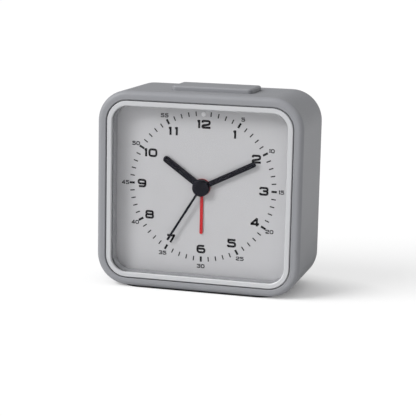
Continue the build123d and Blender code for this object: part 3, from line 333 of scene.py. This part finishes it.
def write_number(curve, number, middle, size):
    """Adds a number's strokes to a curve, centred on a point.

    The size gives the cap height, the digit width, the pen's width and the gap between digits.
    """
    cap, wide, pen, gap = size
    inner_width, inner_height = wide - pen, cap - pen
    widths = [inner_width * (ONE_WIDTH_SHARE if digit == "1" else 1.0) for digit in number]
    # Two upright strokes side by side need a wider gap.
    step = 2 * gap if number == "11" else gap
    left = middle[0] - (sum(widths) + (len(number) - 1) * (step + pen)) / 2
    for digit, width in zip(number, widths):
        for corners, closed in DIGITS[digit]:
            sized = [(left + x * width, middle[1] + (y - 0.5) * inner_height) for x, y in corners]
            points = rounded(sized, closed, cap * BEND_SHARE)
            spline = curve.splines.new("POLY")
            spline.points.add(len(points) - 1)
            spline.use_cyclic_u = closed
            for point, place in zip(spline.points, points):
                point.co = (place.x, place.y, 0.0, 1.0)
                point.tilt = math.pi / 2
        left += width + step + pen


def print_on_dial(name, numbers, radius, size, material):
    """Writes numbers round the dial, upright, and turns the strokes into a thin printed mesh."""
    curve = bpy.data.curves.new(name, "CURVE")
    curve.dimensions = "3D"
    curve.twist_mode = "Z_UP"
    _, _, pen, _ = size
    curve.extrude = pen / 2
    for number, angle in numbers:
        turn = math.radians(angle)
        write_number(curve, number, (radius * math.sin(turn), radius * math.cos(turn)), size)
    piece = bpy.data.objects.new(name, curve)
    bpy.context.collection.objects.link(piece)
    bpy.ops.object.select_all(action="DESELECT")
    piece.select_set(True)
    bpy.context.view_layer.objects.active = piece
    bpy.ops.object.convert(target="MESH")
    layer = piece.modifiers.new("ink", "SOLIDIFY")
    layer.thickness = ink_thick
    layer.offset = 0.0
    bpy.ops.object.modifier_apply(modifier=layer.name)
    piece.rotation_euler = (math.pi / 2, 0, 0)
    piece.location = centre + Vector((0, -ink_thick / 2, 0))
    bpy.ops.object.transform_apply(location=True, rotation=True, scale=True)
    bpy.ops.object.mode_set(mode="EDIT")
    bpy.ops.mesh.select_all(action="SELECT")
    bpy.ops.mesh.normals_make_consistent(inside=False)
    bpy.ops.object.mode_set(mode="OBJECT")
    piece.data.materials.append(material)
    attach(piece, "case")
    print(name, len(piece.data.polygons), "faces")


hours = [(str(hour), HOUR_STEP * hour) for hour in range(1, 13)]
minutes = [(str(5 * hour), HOUR_STEP * hour) for hour in range(1, 12)]
hour_size = (3.75 * MM, 4.05 * MM, 0.93 * MM, 0.55 * MM)
minute_size = (1.75 * MM, 1.65 * MM, 0.4 * MM, 0.18 * MM)
print_on_dial("hour_numbers", hours, number_radius, hour_size, ink)
print_on_dial("minute_numbers", minutes, minute_radius, minute_size, grey_ink)

# %% [markdown]
# ## Minute track
# Short lines a minute apart round the dial, with a broader line at each five minutes and the light in
# place of the line at twelve. One line is drawn as a thin plate, and Spin copies it round the arbor.

# %% Ticks
def tick_ring(name, length, width, first, copies, rounds):
    """A run of ticks a minute apart from the first angle, copied round the dial at each hour."""
    bpy.ops.object.select_all(action="DESELECT")
    bpy.ops.mesh.primitive_cube_add(size=1.0, location=(0, 0, 0))
    piece = bpy.context.active_object
    piece.name = name
    piece.scale = (width, ink_thick, length)
    piece.location = centre + Vector((0, -ink_thick / 2, tick_radius))
    bpy.ops.object.transform_apply(location=True, rotation=True, scale=True)
    bpy.ops.object.mode_set(mode="EDIT")
    bpy.ops.mesh.select_all(action="SELECT")
    bpy.ops.transform.rotate(value=math.radians(first), orient_axis="Y", center_override=centre)
    if copies > 1:
        bpy.ops.mesh.spin(steps=copies - 1, dupli=True, angle=math.radians(MINUTE_STEP * (copies - 1)),
                          center=centre, axis=(0, 1, 0))
        bpy.ops.mesh.select_all(action="SELECT")
    bpy.ops.mesh.spin(steps=rounds - 1, dupli=True, angle=math.radians(HOUR_STEP * (rounds - 1)),
                      center=centre, axis=(0, 1, 0))
    bpy.ops.object.mode_set(mode="OBJECT")
    piece.data.materials.append(ink)
    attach(piece, "case")
    print(name, len(piece.data.polygons) // 6, "ticks")


tick_ring("hour_ticks", 2.35 * MM, 0.92 * MM, HOUR_STEP, copies=1, rounds=11)
tick_ring("minute_ticks", 2.0 * MM, 0.5 * MM, MINUTE_STEP, copies=4, rounds=12)

# %% [markdown]
# ## Painted shadow under the case
# The clock stands on a low plinth. A flat black frame round it fills the gap under the case. It is
# painted shade, a dark thing put where the case's shadow falls, so that the shadow shows as a dark line.
# A block is rounded at its corners, and a block the size of the plinth, with a little play, is cut out
# of it.

# %% Painted shadow under the case
CORNER_STEPS = 10


def rounded_block(name, size, corner):
    """A flat block that stands on the table, with its upright edges rounded."""
    bpy.ops.object.select_all(action="DESELECT")
    bpy.ops.mesh.primitive_cube_add(size=1.0, location=(0, 0, 0))
    block = bpy.context.active_object
    block.name = name
    block.scale = size
    block.location = (0, 0, size.z / 2)
    bpy.ops.object.transform_apply(location=True, rotation=True, scale=True)
    bpy.ops.object.mode_set(mode="EDIT")
    bpy.ops.mesh.select_mode(type="EDGE")
    bpy.ops.mesh.select_all(action="DESELECT")
    bpy.ops.object.mode_set(mode="OBJECT")
    for edge in block.data.edges:
        ends = [block.data.vertices[v].co.z for v in edge.vertices]
        edge.select = abs(ends[0] - ends[1]) > size.z / 2
    bpy.ops.object.mode_set(mode="EDIT")
    bpy.ops.mesh.bevel(offset=corner, segments=CORNER_STEPS)
    bpy.ops.object.mode_set(mode="OBJECT")
    return block


pad_width, pad_depth, pad_height, pad_corner = 69.0 * MM, 37.6 * MM, 0.58 * MM, 8.5 * MM
plinth_width, plinth_depth, plinth_corner = 60.0 * MM, 37.0 * MM, 3.0 * MM
pad_play = 0.01 * MM
# The pad is painted shade: a black frame that stands in for the shadow in the gap under the case.
pad = rounded_block("painted_shadow_pad", Vector((pad_width, pad_depth, pad_height)), pad_corner)
# The cutter reaches past the pad above and below, so that it cuts clean through.
cutter_size = Vector((plinth_width + 2 * pad_play, plinth_depth + 2 * pad_play, 3 * pad_height))
plinth = rounded_block("plinth_cutter", cutter_size, plinth_corner)
plinth.location.z = -pad_height
cut = pad.modifiers.new("cut", "BOOLEAN")
cut.operation = "DIFFERENCE"
cut.object = plinth
bpy.context.view_layer.objects.active = pad
bpy.ops.object.modifier_apply(modifier=cut.name)
bpy.data.objects.remove(plinth)
# Painted shade: a dull black, so that the frame reads as the dark shadow line under the case.
gap_shadow_black = grained("painted_shadow_black", "#141417", "#18181b", 0.4, 0.01, 0.8, ior=1.3)
pad.data.materials.clear()
pad.data.materials.append(gap_shadow_black)
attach(pad, "case")
print("foot pad", len(pad.data.polygons), "faces")

# %% [markdown]
# ## Floor, light and camera
# A white floor runs on past the picture on every side. A broad soft lamp high on the left gives the
# clock its shape, and a weak one low behind it on the right lights the far edge. The sky is brighter on
# the lamp's side, so the shadows fill unevenly, as they do near a window. The camera is placed to see
# the clock as the photograph does.

# %% Floor
floor_size = 30.0
half_width, half_depth = cad_box[1][0], -cad_box[0][1]
# Distances from the middle of the clock are counted in halves of the case's width and depth.
near_reach, far_reach = 0.9, 1.9
# Painted light: how much the paper glows to the camera, near the clock and far from it.
near_painted_glow, far_painted_glow = 0.1, 0.6
bpy.ops.object.select_all(action="DESELECT")
bpy.ops.mesh.primitive_plane_add(size=floor_size, location=(0, 0, 0))
floor = bpy.context.active_object
floor.name = "floor"
floor_paper, tree, output = new_material("white_paper")
# White paper with painted light: close to the clock it shows its own shadow, and further out a glow that
# only the camera sees lightens it more and more. To the light that it throws back it is darker than to
# the camera, which keeps the light bounced onto the case low.
path = add_node(tree, "ShaderNodeLightPath")
tone = add_node(tree, "ShaderNodeMix", {"A": linear("#e2e2e2"), "B": linear("#fcfcfc")},
                {"Factor": path.outputs["Is Camera Ray"]}, data_type="RGBA")
paper = add_node(tree, "ShaderNodeBsdfPrincipled", {"Roughness": 0.9, "Specular IOR Level": 0.1},
                 {"Base Color": tone.outputs["Result"]})
# Painted light: the paper glows, to the camera only, so that its shadow fades further from the clock.
painted_glow = add_node(tree, "ShaderNodeEmission", {"Color": WHITE, "Strength": 1.0})
place = add_node(tree, "ShaderNodeTexCoord")
across = add_node(tree, "ShaderNodeVectorMath", {1: (1 / half_width, 1 / half_depth, 0.0)},
                  {0: place.outputs["Object"]}, operation="MULTIPLY")
reach = add_node(tree, "ShaderNodeVectorMath", None, {0: across.outputs["Vector"]}, operation="LENGTH")
lift = add_node(tree, "ShaderNodeMapRange",
                {"From Min": near_reach, "From Max": far_reach, "To Min": near_painted_glow, "To Max": far_painted_glow},
                {"Value": reach.outputs["Value"]})
share = add_node(tree, "ShaderNodeMath", None,
                 {0: lift.outputs["Result"], 1: path.outputs["Is Camera Ray"]}, operation="MULTIPLY")
both = add_node(tree, "ShaderNodeMixShader", None,
                {0: share.outputs["Value"], 1: paper.outputs["BSDF"], 2: painted_glow.outputs["Emission"]})
tree.links.new(both.outputs["Shader"], output.inputs["Surface"])
floor.data.materials.append(floor_paper)

# %% Sky and lamps
sky_low, sky_high = 0.03, 0.72
bright_side = Vector((-0.45, -0.45, 0.75))
world = bpy.data.worlds.new("studio")
bpy.context.scene.world = world
world.use_nodes = True
tree = world.node_tree
tree.nodes.clear()
path = add_node(tree, "ShaderNodeLightPath")
toward = add_node(tree, "ShaderNodeTexCoord")
facing = add_node(tree, "ShaderNodeVectorMath", {1: bright_side.normalized()},
                  {0: toward.outputs["Generated"]}, operation="DOT_PRODUCT")
level = add_node(tree, "ShaderNodeMapRange",
                 {"From Min": -1.0, "From Max": 1.0, "To Min": sky_low, "To Max": sky_high},
                 {"Value": facing.outputs["Value"]})
fill = add_node(tree, "ShaderNodeBackground", {"Color": WHITE}, {"Strength": level.outputs["Result"]})
backdrop = add_node(tree, "ShaderNodeBackground", {"Color": WHITE, "Strength": 1.0})
mix = add_node(tree, "ShaderNodeMixShader", None,
               {0: path.outputs["Is Camera Ray"], 1: fill.outputs["Background"],
                2: backdrop.outputs["Background"]})
add_node(tree, "ShaderNodeOutputWorld", None, {"Surface": mix.outputs["Shader"]})


def soft_lamp(name, comes_from, energy, spread):
    """A far, broad lamp that shines from a direction, with its spread in degrees."""
    lamp = bpy.data.lights.new(name, "SUN")
    lamp.energy = energy
    lamp.angle = math.radians(spread)
    holder = bpy.data.objects.new(name, lamp)
    bpy.context.collection.objects.link(holder)
    holder.rotation_mode = "QUATERNION"
    holder.rotation_quaternion = Vector(comes_from).to_track_quat("Z", "Y")
    holder.location = comes_from


soft_lamp("left_key", comes_from=(-0.62, -0.52, 0.59), energy=2.75, spread=40)
soft_lamp("back_fill", comes_from=(0.66, 0.72, 0.22), energy=0.5, spread=70)

# %% Camera
aim = Vector((-0.54, 0.0, 33.43)) * MM
distance = 618.0 * MM
sensor_mm, focal_mm = 36.0, 122.02
yaw, pitch, tilt = math.radians(15.35), math.radians(10.72), math.radians(1.21)
away = Vector((math.sin(yaw) * math.cos(pitch), -math.cos(yaw) * math.cos(pitch), math.sin(pitch)))
lens = bpy.data.cameras.new("view")
lens.sensor_width = sensor_mm
lens.lens = focal_mm
view = bpy.data.objects.new("view", lens)
bpy.context.collection.objects.link(view)
view.location = aim + away * distance
view.rotation_mode = "QUATERNION"
view.rotation_quaternion = away.to_track_quat("Z", "Y") @ Quaternion((0, 0, 1), tilt)
bpy.context.scene.camera = view
bpy.context.scene.view_settings.view_transform = "Standard"
